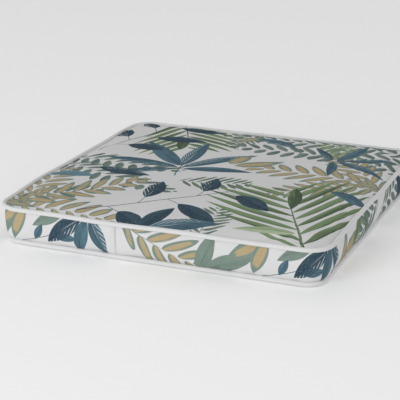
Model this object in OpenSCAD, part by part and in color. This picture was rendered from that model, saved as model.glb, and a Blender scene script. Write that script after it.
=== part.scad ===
// Boxed square chair seat pad with piped edges and a zip across the back.
// Origin: middle of the underside. +Z up, front towards -Y, zip at +Y.

/* [Pad] */
// Width over the piping, left to right
pad_w = 450; // [400:5:500]
// Depth over the piping, front to back
pad_d = 450; // [400:5:500]
// Height of the boxing, from the lower piping's middle to the upper piping's
boxing_h = 48; // [46:1:56]
// Rise of the top panel above the upper piping's middle
crown_h = 6; // [5:0.5:7]
// Drop of the underside below the lower piping's middle
belly_h = 4; // [3.5:0.5:5]
// Corner radius at the upper piping's middle
corner_r = 30; // [28:1:34]
// How far the lower piping lies inside the upper one
lower_inset = 8; // [6:0.5:9]

/* [Cover] */
// Thickness of the printed canvas
fabric_t = 0.8; // [0.6:0.1:1]
// Diameter of the finished piping
piping_d = 6; // [5.6:0.2:6.4]
// Width of the piping's sewn flange
flange_w = 9; // [7:0.5:9]
// Where the two boxing strips are joined on the front, from the middle
join_x = -50; // [-120:5:120]

/* [Filling] */
// Clearance round the foam block, inside the boxing
foam_gap = 5.5; // [5:0.5:8]
// Thickness of the polyester wadding over the foam, at the middle
wadding_t = 7.7; // [6.5:0.1:8]

/* [Zip] */
// Length of the row of teeth
zip_len = 354; // [240:6:354]
// Height of the gap between the two back strips
zip_gap = 11; // [10.8:0.2:12]
// Width of one tape
tape_w = 11.5; // [10:0.5:12]
// Distance from one tooth to the next in the same row
tooth_pitch = 3; // [3:0.1:4]
// Length of the slider's body
slider_len = 12; // [11:0.5:14]
// Width of the slider's body
slider_w = 9.4; // [9.2:0.1:9.6]
// Length of the pull, from its pivot to its tip
pull_len = 25; // [20:1:32]

/* [Hidden] */
$fn = 48;

// Every closed outline is a core rectangle grown by some reach, so all the corners share one centre
piping_r = piping_d / 2;
core_w = pad_w - 2 * (corner_r + piping_r);
core_d = pad_d - 2 * (corner_r + piping_r);
upper_reach = corner_r;
lower_reach = corner_r - lower_inset;

// Heights
lower_z = belly_h;
upper_z = belly_h + boxing_h;
pad_h = upper_z + crown_h;
zip_z = lower_z + boxing_h / 2;

// Panels: flat in the middle, then a parabola down to the seam
panel_flat = 4;
seam_gap = 0.4;
edge_lift = 1.4;
curve_steps = 8;

// Boxing: plumb from the top to plumb_z, then tucked under to the lower piping
boxing_reach = upper_reach - piping_r / 2;
plumb_z = lower_z + 9.5;
tuck_z = lower_z + 2.6;
tuck_reach = lower_reach - 2;
boxing_top = upper_z - 2.8;

// Piping
cord_r = piping_r - fabric_t - 0.1;
flange_t = 1;

// Filling
foam_reach = boxing_reach - foam_gap;
foam_top = pad_h - fabric_t - wadding_t;
foam_bottom = lower_z + 5.5;
wadding_clear = 0.1;
wadding_short = 2.4;

// Zip, measured outwards from the core rectangle's back edge
tape_t = 0.6;
tape_out = boxing_reach - fabric_t;
tape_edge = 2;
tooth_t = 2.6;
tooth_mid = tape_out - tape_t / 2;
tooth_head_w = 1.2;
tooth_body_w = 2.2;
tooth_head_h = 0.9;
tooth_root = 1;
tooth_top = 2.9;
tooth_relief = 0.3;
teeth_end = zip_len / 2;
stitch_len = 3;
stitch_gap = 1;
stitch_t = 0.4;
stitch_inset = 2.5;
stop_len = 3;

// Slider, in its own frame: x along the zip, y out of the cover, z across the zip
plate_t = 1;
slider_x = teeth_end - 0.5;
slider_clear = 0.3;
waist = 0.5;
plate_out = tooth_mid + tooth_t / 2 + slider_clear;
plate_in = tooth_mid - tooth_t / 2 - slider_clear;
lip_w = 1;
lip_out = tape_out + 0.4;
wedge_len = 4;
wedge_w = 1.8;
crown_len = 9;
crown_w = 2;
crown_bar = 0.8;
crown_gap = 1.8;

// Pull
pull_t = 1.2;
pull_y = plate_out + plate_t + slider_clear + pull_t / 2;
arm_gap = 3.2;
arm_w = 1.1;
window_len = 5.6;
pull_w = 6;
pull_hole_r = 1.2;

// ---- profiles: [reach out from the core rectangle, height] ----

top_edge = upper_reach - piping_r - seam_gap;
bottom_edge = lower_reach - piping_r - seam_gap;
function fall(reach, edge) = pow(max(reach - panel_flat, 0) / (edge - panel_flat), 2);
function top_surface(reach) = pad_h - (crown_h - edge_lift) * fall(reach, top_edge);
function bottom_surface(reach) = (belly_h - edge_lift) * fall(reach, bottom_edge);
function reaches(edge) =
    concat([0], [for (i = [0:curve_steps]) panel_flat + (edge - panel_flat) * i / curve_steps]);

function tuck(z) = boxing_reach - (boxing_reach - tuck_reach) * pow((plumb_z - z) / (plumb_z - tuck_z), 2);
lower_points = [
    for (i = [0:curve_steps]) let (z = tuck_z + (plumb_z - tuck_z) * i / curve_steps) [tuck(z), z]
];

function reversed(list) = [for (i = [len(list) - 1:-1:0]) list[i]];
function left_normal(p, i) =
    let (d = p[min(i + 1, len(p) - 1)] - p[max(i - 1, 0)]) [-d[1], d[0]] / norm(d);
// A strip of even thickness on the left-hand side of a line of points
function strip(p, t) = concat(p, reversed([for (i = [0:len(p) - 1]) p[i] + t * left_normal(p, i)]));

// ---- sweeps round the core rectangle ----

module side_run(len) rotate([90, 0, 0]) linear_extrude(len, center = true) children();
module right_run() translate([core_w / 2, 0, 0]) side_run(core_d) children();
module left_run() mirror([1, 0, 0]) right_run() children();
module right_corner() translate([core_w / 2, core_d / 2, 0]) rotate_extrude(angle = 90) children();
module rear_run(x0, x1)
    translate([(x0 + x1) / 2, core_d / 2, 0]) rotate([0, 0, 90]) side_run(x1 - x0) children();
module front_run(x0, x1) mirror([0, 1, 0]) rear_run(x0, x1) children();
module both_right_corners() {
    right_corner() children();
    mirror([0, 1, 0]) right_corner() children();
}
module ring() {
    right_run() children();
    left_run() children();
    rear_run(-core_w / 2, core_w / 2) children();
    front_run(-core_w / 2, core_w / 2) children();
    both_right_corners() children();
    mirror([1, 0, 0]) both_right_corners() children();
}
module core_plate(z0, z1) translate([0, 0, (z0 + z1) / 2]) cube([core_w, core_d, z1 - z0], center = true);

// ---- cover ----

module panel(r, outer, inner) {
    ring() polygon(concat([for (x = r) [x, outer(x)]], reversed([for (x = r) [x, inner(x)]])));
    core_plate(min(outer(0), inner(0)), max(outer(0), inner(0)));
}
module top_panel() {
    color("gainsboro")
        panel(reaches(top_edge), function(x) top_surface(x), function(x) top_surface(x) - fabric_t);
}
module bottom_panel() {
    color("gainsboro")
        panel(reaches(bottom_edge), function(x) bottom_surface(x), function(x) bottom_surface(x) + fabric_t);
}

module boxing_profile() polygon(strip(concat(lower_points, [[boxing_reach, boxing_top]]), fabric_t));
module left_boxing() {
    color("whitesmoke") {
        front_run(-core_w / 2, join_x) boxing_profile();
        left_run() boxing_profile();
        mirror([1, 0, 0]) both_right_corners() boxing_profile();
    }
}
module right_boxing() {
    color("whitesmoke") {
        front_run(join_x, core_w / 2) boxing_profile();
        right_run() boxing_profile();
        both_right_corners() boxing_profile();
    }
}
module rear_boxing_upper() {
    color("whitesmoke") rear_run(-core_w / 2, core_w / 2)
        polygon(strip([[boxing_reach, zip_z + zip_gap / 2], [boxing_reach, boxing_top]], fabric_t));
}
module rear_boxing_lower() {
    color("whitesmoke") rear_run(-core_w / 2, core_w / 2)
        polygon(strip(concat(lower_points, [[boxing_reach, zip_z - zip_gap / 2]]), fabric_t));
}

module piping_cover(reach, z) {
    color("white") ring() difference() {
        union() {
            translate([reach, z]) circle(piping_r);
            translate([reach - piping_r - flange_w, z - flange_t / 2])
                square([flange_w + fabric_t / 2, flange_t]);
        }
        translate([reach, z]) circle(piping_r - fabric_t);
    }
}
module piping_cord(reach, z) color("ivory") ring() translate([reach, z]) circle(cord_r);
module top_piping_cover() piping_cover(upper_reach, upper_z);
module top_piping_cord() piping_cord(upper_reach, upper_z);
module bottom_piping_cover() piping_cover(lower_reach, lower_z);
module bottom_piping_cord() piping_cord(lower_reach, lower_z);

// ---- filling ----

module foam_core() {
    color("khaki") {
        ring() translate([0, foam_bottom]) square([foam_reach, foam_top - foam_bottom]);
        core_plate(foam_bottom, foam_top);
    }
}
// Fibre layer between a panel and the foam, notched where the piping's flange runs
module wadding(foam_z, flange_z, notch, edge, inner) {
    r = [for (x = reaches(edge)) if (x < edge - wadding_short) x];
    last = r[len(r) - 1];
    ring() polygon(concat(
        [[0, foam_z], [notch, foam_z], [notch, flange_z], [last, flange_z]],
        reversed([for (x = r) [x, inner(x)]])
    ));
    core_plate(min(foam_z, inner(0)), max(foam_z, inner(0)));
}
module wadding_top() {
    color("snow") wadding(
        foam_top, upper_z + flange_t / 2 + wadding_clear,
        upper_reach - piping_r - flange_w - wadding_clear, top_edge,
        function(x) top_surface(x) - fabric_t
    );
}
module wadding_bottom() {
    color("snow") wadding(
        foam_bottom, lower_z - flange_t / 2 - wadding_clear,
        lower_reach - piping_r - flange_w - wadding_clear, bottom_edge,
        function(x) bottom_surface(x) + fabric_t
    );
}

// ---- zip ----

// Puts children, drawn with y out of the cover and z across the zip, on the back of the cover
module on_back() translate([0, core_d / 2, zip_z]) children();
// A box given by its middle along x, and its limits along y and z
module slab(x, len, y0, y1, z0, z1) translate([x - len / 2, y0, z0]) cube([len, y1 - y0, z1 - z0]);

module tape() {
    color("white") on_back()
        slab(0, core_w, tape_out - tape_t, tape_out, tape_edge, tape_edge + tape_w);
}
module zip_tape_upper() tape();
module zip_tape_lower() translate([0, 0, 2 * zip_z]) mirror([0, 0, 1]) tape();

module tooth() {
    half = tooth_t / 2;
    head = half - tooth_relief;
    slab(0, tooth_body_w, tooth_mid - half, tooth_mid + half, tooth_root, tooth_top);
    slab(0, tooth_head_w, tooth_mid - head, tooth_mid + head, -tooth_head_h, tooth_root + tooth_relief);
}
module teeth(shift) {
    color("whitesmoke") on_back()
        for (x = [-teeth_end + tooth_body_w / 2 + shift:tooth_pitch:teeth_end - tooth_body_w / 2])
            translate([x, 0, 0]) tooth();
}
module zip_teeth_upper() teeth(0);
module zip_teeth_lower() translate([0, 0, 2 * zip_z]) mirror([0, 0, 1]) teeth(tooth_pitch / 2);

module stop_block(x, z0, z1)
    slab(x, stop_len, tooth_mid - tooth_t / 2, tooth_mid + tooth_t / 2, z0, z1);
module zip_top_stops() {
    color("silver") on_back() for (side = [0, 1]) mirror([0, 0, side])
        stop_block(slider_x + slider_len / 2 + slider_clear + stop_len / 2, wedge_w / 2, tooth_top);
}
module zip_bottom_stop() {
    color("silver") on_back()
        stop_block(-teeth_end - slider_clear - stop_len / 2, -tooth_top, tooth_top);
}
module zip_stitching() {
    low = zip_gap / 2 + stitch_inset - stitch_t / 2;
    last = core_w / 2 - stitch_len;
    color("white") on_back() for (side = [0, 1]) mirror([0, 0, side])
        for (x = [-last:stitch_len + stitch_gap:last])
            slab(x, stitch_len, boxing_reach, boxing_reach + stitch_t, low, low + stitch_t);
}

module crown() {
    top = plate_out + plate_t + crown_gap + crown_bar;
    difference() {
        slab(0, crown_len, plate_out + plate_t, top, -crown_w / 2, crown_w / 2);
        slab(0, crown_len - 2 * crown_bar, plate_out, top - crown_bar, -crown_w, crown_w);
    }
}
// A plate as wide as the slider over its wedge and narrower by a waist behind it
module slider_plate(y0, y1) {
    wide = slider_w / 2;
    narrow = wide - waist;
    slab((slider_len - wedge_len) / 2, wedge_len, y0, y1, -wide, wide);
    slab(-wedge_len / 2, slider_len - wedge_len, y0, y1, -narrow, narrow);
}
module zip_slider() {
    color("silver") on_back() translate([slider_x, 0, 0]) {
        slider_plate(plate_out, plate_out + plate_t);
        slider_plate(plate_in - plate_t, plate_in);
        for (side = [0, 1]) mirror([0, 0, side])
            slab(0, slider_len, lip_out, plate_out, slider_w / 2 - waist - lip_w, slider_w / 2 - waist);
        slab(slider_len / 2 - wedge_len / 2, wedge_len - 1, plate_in, plate_out, -wedge_w / 2, wedge_w / 2);
        crown();
    }
}
// The cross bar lies under the slider's crown and the two arms pass on either side of it
module zip_pull() {
    tab = pull_len - window_len - pull_w / 2;
    color("silver") on_back() translate([slider_x, pull_y, 0]) {
        cylinder(r = pull_t / 2, h = arm_gap + 2 * arm_w, center = true);
        for (side = [0, 1]) mirror([0, 0, side])
            translate([-window_len, -pull_t / 2, arm_gap / 2]) cube([window_len, pull_t, arm_w]);
        difference() {
            union() {
                slab(-window_len - tab / 2, tab, -pull_t / 2, pull_t / 2, -pull_w / 2, pull_w / 2);
                translate([-pull_len + pull_w / 2, 0, 0]) rotate([90, 0, 0])
                    cylinder(r = pull_w / 2, h = pull_t, center = true);
            }
            translate([-pull_len + pull_w / 2, 0, 0]) rotate([90, 0, 0])
                cylinder(r = pull_hole_r, h = 2 * pull_t, center = true);
        }
    }
}

top_panel();
bottom_panel();
left_boxing();
right_boxing();
rear_boxing_upper();
rear_boxing_lower();
top_piping_cover();
top_piping_cord();
bottom_piping_cover();
bottom_piping_cord();
foam_core();
wadding_top();
wadding_bottom();
zip_tape_upper();
zip_tape_lower();
zip_teeth_upper();
zip_teeth_lower();
zip_top_stops();
zip_bottom_stop();
zip_stitching();
zip_slider();
zip_pull();
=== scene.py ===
"""Square boxed chair seat pad in leaf-printed canvas, with white piping and a zip across the back."""

import math

import bmesh
import bpy
import numpy as np
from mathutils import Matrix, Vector
from mathutils.bvhtree import BVHTree


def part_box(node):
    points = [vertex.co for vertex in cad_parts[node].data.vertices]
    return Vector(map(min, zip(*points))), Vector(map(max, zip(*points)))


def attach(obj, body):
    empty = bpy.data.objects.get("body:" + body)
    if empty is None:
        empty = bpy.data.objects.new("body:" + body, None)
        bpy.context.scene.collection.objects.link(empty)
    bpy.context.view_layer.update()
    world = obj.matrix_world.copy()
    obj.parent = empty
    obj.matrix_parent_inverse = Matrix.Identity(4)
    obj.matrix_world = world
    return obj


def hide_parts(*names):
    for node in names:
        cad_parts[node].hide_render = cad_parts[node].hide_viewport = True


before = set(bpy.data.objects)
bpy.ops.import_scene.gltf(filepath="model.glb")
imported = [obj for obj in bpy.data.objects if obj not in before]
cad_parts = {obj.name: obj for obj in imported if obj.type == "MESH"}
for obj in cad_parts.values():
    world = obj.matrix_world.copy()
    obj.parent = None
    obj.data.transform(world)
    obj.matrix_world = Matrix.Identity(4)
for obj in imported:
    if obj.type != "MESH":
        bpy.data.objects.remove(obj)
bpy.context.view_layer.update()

MM = 0.001

# ---- sizes, all from the frame ----


def seam_line(node):
    """Height of a piping's middle, its tube's radius and how far its middle is from the pad's centre."""
    low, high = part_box(node)
    radius = (high.z - low.z) / 2
    return (low.z + high.z) / 2, radius, high.x - radius


TOP_Z, PIPE_R, TOP_HALF = seam_line("top_piping_cover")
LOW_Z, _, LOW_HALF = seam_line("bottom_piping_cover")
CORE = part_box("rear_boxing_upper")[1].x  # half the rectangle that all the rounded corners share
TOP_REACH = TOP_HALF - CORE
LOW_REACH = LOW_HALF - CORE
CROWN_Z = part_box("top_panel")[1].z
JOIN_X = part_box("left_boxing")[1].x
REAR_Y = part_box("rear_boxing_upper")[1].y
ZIP_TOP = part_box("rear_boxing_upper")[0].z
ZIP_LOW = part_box("rear_boxing_lower")[1].z

CLOTH_T = 0.8 * MM
PUCKER = 0.34 * MM
PUCKER_PEAK = 6 * MM
CELL = 5 * MM


# ---- camera, light and floor ----

CAMERA_AZIMUTH = 22.47
CAMERA_ELEVATION = 18.36
CAMERA_PLACE = Vector((0.6389, -1.6108, 0.5421))  # from the middle of the upper piping's outline
CAMERA_LENS = 119.3


def add_camera():
    data = bpy.data.cameras.new("camera")
    data.lens = CAMERA_LENS
    data.sensor_width = 36
    camera = bpy.data.objects.new("camera", data)
    camera.location = CAMERA_PLACE + Vector((0, 0, TOP_Z))
    camera.rotation_euler = (
        math.radians(90 - CAMERA_ELEVATION),
        0,
        math.radians(CAMERA_AZIMUTH),
    )
    bpy.context.scene.collection.objects.link(camera)
    bpy.context.scene.camera = camera


def add_light(name, place, aim, size, power):
    data = bpy.data.lights.new(name, "AREA")
    data.size = size
    data.energy = power
    light = bpy.data.objects.new(name, data)
    light.location = place
    light.rotation_euler = (Vector(aim) - Vector(place)).to_track_quat("-Z", "Y").to_euler()
    bpy.context.scene.collection.objects.link(light)


def add_lights():
    world = bpy.data.worlds.new("studio")
    world.use_nodes = True
    background = world.node_tree.nodes["Background"]
    background.inputs["Color"].default_value = (1, 1, 1, 1)
    background.inputs["Strength"].default_value = 0.6
    bpy.context.scene.world = world
    add_light("key", (-0.9, -2.5, 0.8), (0, 0, 0.03), 1.2, 24)
    add_light("fill", (1.9, -0.9, 0.9), (0, 0, 0.03), 1.2, 3)
    bpy.context.scene.view_settings.view_transform = "Standard"


def add_floor():
    bpy.ops.mesh.primitive_grid_add(x_subdivisions=8, y_subdivisions=8, size=9)
    floor = bpy.context.object
    floor.name = "floor"
    material = bpy.data.materials.new("floor")
    material.use_nodes = True
    shader = material.node_tree.nodes["Principled BSDF"]
    shader.inputs["Base Color"].default_value = (0.92, 0.92, 0.92, 1)
    shader.inputs["Roughness"].default_value = 0.9
    shader.inputs["Emission Color"].default_value = (1, 1, 1, 1)
    shader.inputs["Emission Strength"].default_value = 0.14
    floor.data.materials.append(material)


# ---- shader arithmetic ----


class Val:
    """A number that a node tree works out, which Python's own operators combine."""

    def __init__(self, tree, socket):
        self.tree = tree
        self.socket = socket

    def op(self, operation, *others):
        node = self.tree.nodes.new("ShaderNodeMath")
        node.operation = operation
        for slot, value in zip(node.inputs, (self, *others)):
            feed(self.tree, slot, value)
        return Val(self.tree, node.outputs[0])

    def __add__(self, other):
        return self.op("ADD", other)

    def __sub__(self, other):
        return self.op("SUBTRACT", other)

    def __rsub__(self, other):
        return self.op("MULTIPLY_ADD", -1.0, other)

    def __mul__(self, other):
        return self.op("MULTIPLY", other)

    def __truediv__(self, other):
        return self.op("DIVIDE", other)

    def __pow__(self, other):
        return self.op("POWER", other)

    __radd__ = __add__
    __rmul__ = __mul__

    def __abs__(self):
        return self.op("ABSOLUTE")

    def clamped(self):
        """Kept to 0..1 by a node of its own: a clamp inside many Math nodes makes too big a shader."""
        node = self.tree.nodes.new("ShaderNodeClamp")
        feed(self.tree, node.inputs["Value"], self)
        return Val(self.tree, node.outputs[0])

    def over(self, soft):
        """0 where this is negative, rising to 1 at soft."""
        return (self if soft == 1 else self * (1 / soft)).clamped()


def feed(tree, socket, value):
    if isinstance(value, Val):
        tree.links.new(value.socket, socket)
    else:
        socket.default_value = value


def mix(tree, kind, share, a, b):
    """A blend of two colours or vectors; kind is RGBA or VECTOR."""
    node = tree.nodes.new("ShaderNodeMix")
    node.data_type = kind
    node.clamp_factor = False
    names = [i for i in node.inputs if i.type == kind and i.name in ("A", "B")]
    feed(tree, node.inputs[0], share)
    feed(tree, names[0], a)
    feed(tree, names[1], b)
    return Val(tree, next(o for o in node.outputs if o.type == kind))


def vector(tree, x, y, z=0.0):
    node = tree.nodes.new("ShaderNodeCombineXYZ")
    for slot, value in zip(node.inputs, (x, y, z)):
        feed(tree, slot, value)
    return Val(tree, node.outputs[0])


def parts_of(tree, vec):
    node = tree.nodes.new("ShaderNodeSeparateXYZ")
    tree.links.new(vec.socket, node.inputs[0])
    return [Val(tree, o) for o in node.outputs]


def uv(tree, layer):
    node = tree.nodes.new("ShaderNodeUVMap")
    node.uv_map = layer
    return Val(tree, node.outputs[0])


def noise(tree, vec, scale, detail=2.0, rough=0.5):
    node = tree.nodes.new("ShaderNodeTexNoise")
    tree.links.new(vec.socket, node.inputs["Vector"])
    node.inputs["Scale"].default_value = scale
    node.inputs["Detail"].default_value = detail
    node.inputs["Roughness"].default_value = rough
    return Val(tree, node.outputs["Fac"])


def stretched(tree, vec, sx, sy, sz=1.0):
    node = tree.nodes.new("ShaderNodeMapping")
    tree.links.new(vec.socket, node.inputs["Vector"])
    node.inputs["Scale"].default_value = (sx, sy, sz)
    return Val(tree, node.outputs[0])


# ---- the leaf print: an all-over botanical pattern of the script's own ----

GROUND = (0.700, 0.700, 0.705)
NAVY = (0.040, 0.084, 0.115)
DEEP = (0.015, 0.038, 0.064)
TEAL = (0.086, 0.176, 0.224)
SKY = (0.160, 0.285, 0.340)
GREEN = (0.195, 0.285, 0.145)
MOSS = (0.062, 0.100, 0.052)
LIME = (0.430, 0.520, 0.350)
SAGE = (0.200, 0.272, 0.230)
SLATE = (0.118, 0.166, 0.152)
OCHRE = (0.470, 0.365, 0.205)

EDGE = 0.45 * MM  # how soft an edge of ink is


def colour4(rgb):
    return (*rgb, 1.0)


FLOAT, VECTOR, COLOUR = "NodeSocketFloat", "NodeSocketVector", "NodeSocketColor"
RUNNING = {"Ink": FLOAT, "Dark": COLOUR, "Light": COLOUR, "Brush": VECTOR}
PLACED = {
    "X": FLOAT, "Y": FLOAT, "Along": VECTOR, "Across": VECTOR, "Bend": FLOAT,
    "Shade": COLOUR, "Tint": COLOUR, "Tone": FLOAT, "Seed": FLOAT, "Sharp": FLOAT,
}  # fmt: skip


class Motif:
    """A node group that lays one kind of motif over the print so far."""

    made = {}

    def __init__(self, kind, shape, inputs):
        self.group = bpy.data.node_groups.new(kind, "ShaderNodeTree")
        for side, sockets in (("INPUT", {**RUNNING, **PLACED, **inputs}), ("OUTPUT", RUNNING)):
            for label, socket in sockets.items():
                self.group.interface.new_socket(label, in_out=side, socket_type=socket)
        source = self.group.nodes.new("NodeGroupInput")
        given = {o.name: Val(self.group, o) for o in source.outputs if o.name}
        mask, level, brush_x, brush_y = shape(given, *self.local(given))
        tree = self.group
        brush = vector(tree, brush_x, brush_y, level)
        result = (
            given["Ink"].op("MAXIMUM", mask),
            mix(tree, "RGBA", mask, given["Dark"], given["Shade"]),
            mix(tree, "RGBA", mask, given["Light"], given["Tint"]),
            mix(tree, "VECTOR", mask, given["Brush"], brush),
        )
        sink = tree.nodes.new("NodeGroupOutput")
        for value, socket in zip(result, sink.inputs):
            feed(tree, socket, value)

    def local(self, given):
        """Places along and across a motif, as shares of its length."""
        along, across = (self.axis(given, label) for label in ("Along", "Across"))
        return along, across - along * along * given["Bend"]

    def axis(self, given, label):
        per_x, per_y, start = parts_of(self.group, given[label])
        return given["X"].op("MULTIPLY_ADD", per_x, given["Y"].op("MULTIPLY_ADD", per_y, start))


def axes(x, y, heading, length):
    """What a place's x and y count for along and across a motif, and its start."""
    turn, size = math.radians(heading), length * MM
    c, s = math.cos(turn) / size, math.sin(turn) / size
    return (c, s, -(x * c + y * s) * MM), (-s, c, (x * s - y * c) * MM)


class Artwork:
    """The print so far: how much ink, a dark and a light colour of it, and the brush's own directions."""

    def __init__(self, tree):
        self.tree = tree
        self.flat = uv(tree, "flat")
        self.x, self.y, _ = parts_of(tree, self.flat)
        self.running = {"Ink": 0.0, "Dark": colour4(NAVY), "Light": colour4(TEAL), "Brush": (0, 0, 0)}

    def lay(self, kind, shape, place, bend, ink, tone, **numbers):
        if kind not in Motif.made:
            sockets = {k: VECTOR if isinstance(v, tuple) else FLOAT for k, v in numbers.items()}
            Motif.made[kind] = Motif(kind, shape, sockets).group
        x, y, _, length = place
        along, across = axes(*place)
        node = self.tree.nodes.new("ShaderNodeGroup")
        node.node_tree = Motif.made[kind]
        values = {
            **self.running,
            **numbers,
            "X": self.x,
            "Y": self.y,
            "Along": along,
            "Across": across,
            "Bend": bend,
            "Shade": colour4(ink[0]),
            "Tint": colour4(ink[1]),
            "Tone": tone,
            "Seed": x * 0.7 + y * 1.3,
            "Sharp": length * MM / EDGE,
        }
        for label, value in values.items():
            feed(self.tree, node.inputs[label], value)
        self.running = {o.name: Val(self.tree, o) for o in node.outputs}


def outline(peak, round_, half):
    """The numbers of a leaf's outline: half wide at peak, and 0 at both ends."""
    rise = round_ * peak / (1 - peak)
    return rise, round_, half / (peak**rise * (1 - peak) ** round_)


def bulge(value, numbers):
    rise, round_, scale = parts_of(value.tree, numbers)
    return value**rise * (1 - value) ** round_ * scale


def leaf_mask(given, along, across):
    return (bulge(along, given["Outline"]) - abs(across)) * given["Sharp"]


def leaf_brush(given, along, across):
    """Streaks along the leaf, darkest by its middle vein."""
    vein = (0.016 - abs(across)).over(0.016) * -0.5
    near_half = (across * given["Sharp"]).over(1) * 0.35
    return vein + near_half + given["Tone"], along * 3.0 + given["Seed"], across * 17.0


def plain_leaf(given, along, across):
    """A painted leaf; its eye is a blot of the light colour down its middle."""
    half = bulge(along, given["Outline"])
    side = abs(across)
    mask = ((half - side) * given["Sharp"]).over(1)
    level, brush_x, brush_y = leaf_brush(given, along, across)
    blot = (half * given["Eye"] - side) * given["Sharp"] * 0.22
    return mask, level + blot.over(1) * (0.8 - along).over(0.12) * 1.5, brush_x, brush_y


def nicked_leaf(given, along, across):
    """Thin pale cuts slant in from one edge, and a broken pale line follows the middle vein."""
    side = abs(across)
    half = bulge(along, given["Outline"])
    step = ((along - side * 1.9) * given["Nicks"] + given["Seed"]).op("FRACT")
    deep = (across - half * 0.3) * given["Sharp"] * 0.3
    cut = (0.12 - abs(step - 0.5)).over(0.05) * deep.over(1)
    vein = (0.005 - side).over(0.004) * (0.6 - along).over(0.2) * (along - 0.08).over(0.05)
    mask = leaf_mask(given, along, across).over(1) * (1 - cut) * (1 - vein)
    return mask, *leaf_brush(given, along, across)


def leaf(art, x, y, heading, length, width, bend=0.0, ink=None, tone=0.35, peak=0.42, nicks=0, eye=0.0):
    """One broad leaf: nicks cut into one edge, and an eye is a blot of the light colour."""
    place, numbers = (x, y, heading, length), {"Outline": outline(peak, 1.0, width / length / 2)}
    if nicks:
        art.lay("nicked leaf", nicked_leaf, place, bend, ink or BLUES, tone, **numbers, Nicks=nicks)
    else:
        art.lay("leaf", plain_leaf, place, bend, ink or BLUES, tone, **numbers, Eye=eye)


def leaflets(given, along, across):
    side = abs(across)
    right = across.op("GREATER_THAN", 0.0)
    root = along - side * given["Sweep"] - side * side * given["Curl"]
    count = root * given["Pairs"] + right * 0.5
    cell = abs(count.op("FRACT") - 0.5)
    out = side / bulge(root, given["Reach"])
    half = bulge(out, given["Outline"])
    soft = given["Sharp"] / given["Pairs"]
    mask = ((half - cell) * soft).over(1)
    rib = ((1 - along) * given["Rib"] - side) * given["Sharp"]
    mask = mask.op("MAXIMUM", rib.over(1) * along.op("GREATER_THAN", 0.0))
    eye = ((half * given["Eye"] - cell) * soft * 0.6).over(1) * (0.82 - out).over(0.08) * 1.3
    number = count.op("FLOOR") + right * 31.7
    shift = ((number * 0.618).op("FRACT") - 0.5) * 0.7 + (count.op("FRACT") - 0.5) * 1.4
    level = given["Tone"] + eye + shift
    return mask, level, out * 2.2 + number * 3.1 + given["Seed"], cell * 5.0 + number * 1.7


def frond(
    art, x, y, heading, length, leaflet, pairs, fat=0.4, sweep=0.5, bend=0.0, curl=0.0,
    ink=None, tone=0.35, peak=0.4, grow=0.35, eye=0.0, rib=0.9, round_=0.7,
):  # fmt: skip
    """Leaflets in pairs along a bent rib. An eye paints the middle of each leaflet in the light colour."""
    art.lay(
        "frond", leaflets, (x, y, heading, length), bend, ink or SAGES, tone,
        Reach=outline(grow, 0.55, leaflet / length), Outline=outline(peak, round_, fat / 2),
        Pairs=float(pairs), Sweep=sweep, Curl=curl, Eye=eye, Rib=rib / length,
    )  # fmt: skip


def stalk(given, along, across):
    within = ((0.5 - abs(along - 0.5)) * given["Sharp"]).over(1)
    mask = ((given["Half"] - abs(across)) * given["Sharp"]).over(1) * within
    return mask, given["Tone"] + 0.0, along * 4.0 + given["Seed"], across * 4.0


def stem(art, x, y, heading, length, bend=0.0, width=1.1, ink=None):
    art.lay("stem", stalk, (x, y, heading, length), bend, ink or BLUES, 0.4, Half=width / length / 2)


SAGES = (SLATE, SAGE)
PALM = (MOSS, GREEN)
YOUNG = (GREEN, LIME)
GOLD = (SAGE, OCHRE)
BLUES = (NAVY, TEAL)
NAVIES = (DEEP, NAVY)


def spot(x, y, turn, ahead, aside, heading):
    """A place and heading in a group's own directions, as ones on the cloth."""
    c, s = math.cos(math.radians(turn)), math.sin(math.radians(turn))
    return x + ahead * c - aside * s, y + ahead * s + aside * c, turn + heading


def fan(art, x, y, turn, leaves, size=1.0, ink=None):
    """Long narrow leaves that spread from the end of a short stem."""
    stem(art, *spot(x, y, turn, -52 * size, 6 * size, -6), 56 * size, -0.1, 2.2, ink or BLUES)
    for k in range(leaves):
        side = k / (leaves - 1) * 2 - 1
        length = (128 - 30 * side * side + 9 * math.sin(2.4 * k)) * size
        place = spot(x, y, turn, -20 * abs(side) * size, 5 * side * size, 96 * side)
        nicks = (0, 15, 17)[k % 3]
        leaf(art, *place, length, length * 0.22, 0.12 * side, ink or BLUES, 0.35 + 0.1 * (k % 4), 0.43, nicks)


def branch(art, x, y, turn, length, leaves):
    """A thin curved stem with broad leaves on stalks, to the left and right in turn."""
    stem(art, x, y, turn, length, 0.16, 2.0, NAVIES)
    for k in range(leaves):
        along, side = (k + 1) / (leaves + 0.4), 1 if k % 2 else -1
        place = spot(x, y, turn, along * length, 0.16 * along * along * length, 52 * side)
        stem(art, *place, 26, 0.1 * side, 1.5, NAVIES)
        tip = spot(*place, 22, 1.5 * side, 8 * side)
        odd = k % 2
        leaf(art, *tip, 58 + 12 * (k % 3), 30 - 3 * odd, 0.08 * side, NAVIES, 0.5, 0.44, nicks=7 * odd)


def palm(art, x, y, turn, length, pairs):
    """A stiff frond of long green blades, the lowest of them young and pale."""
    blades = {"sweep": 0.95, "curl": 0.25, "round_": 0.9, "peak": 0.42, "grow": 0.34, "rib": 2.4}
    frond(art, x, y, turn, length, length * 0.56, pairs, 0.74, bend=-0.06, ink=PALM, tone=0.75, **blades)
    leaf(art, *spot(x, y, turn, length * 0.62, -4, -18), length * 0.44, 19, 0.06, PALM, -0.1, 0.5)
    leaf(art, *spot(x, y, turn, length * 0.2, 4, 62), length * 0.4, 17, 0.1, YOUNG, 0.6, 0.45)


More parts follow.
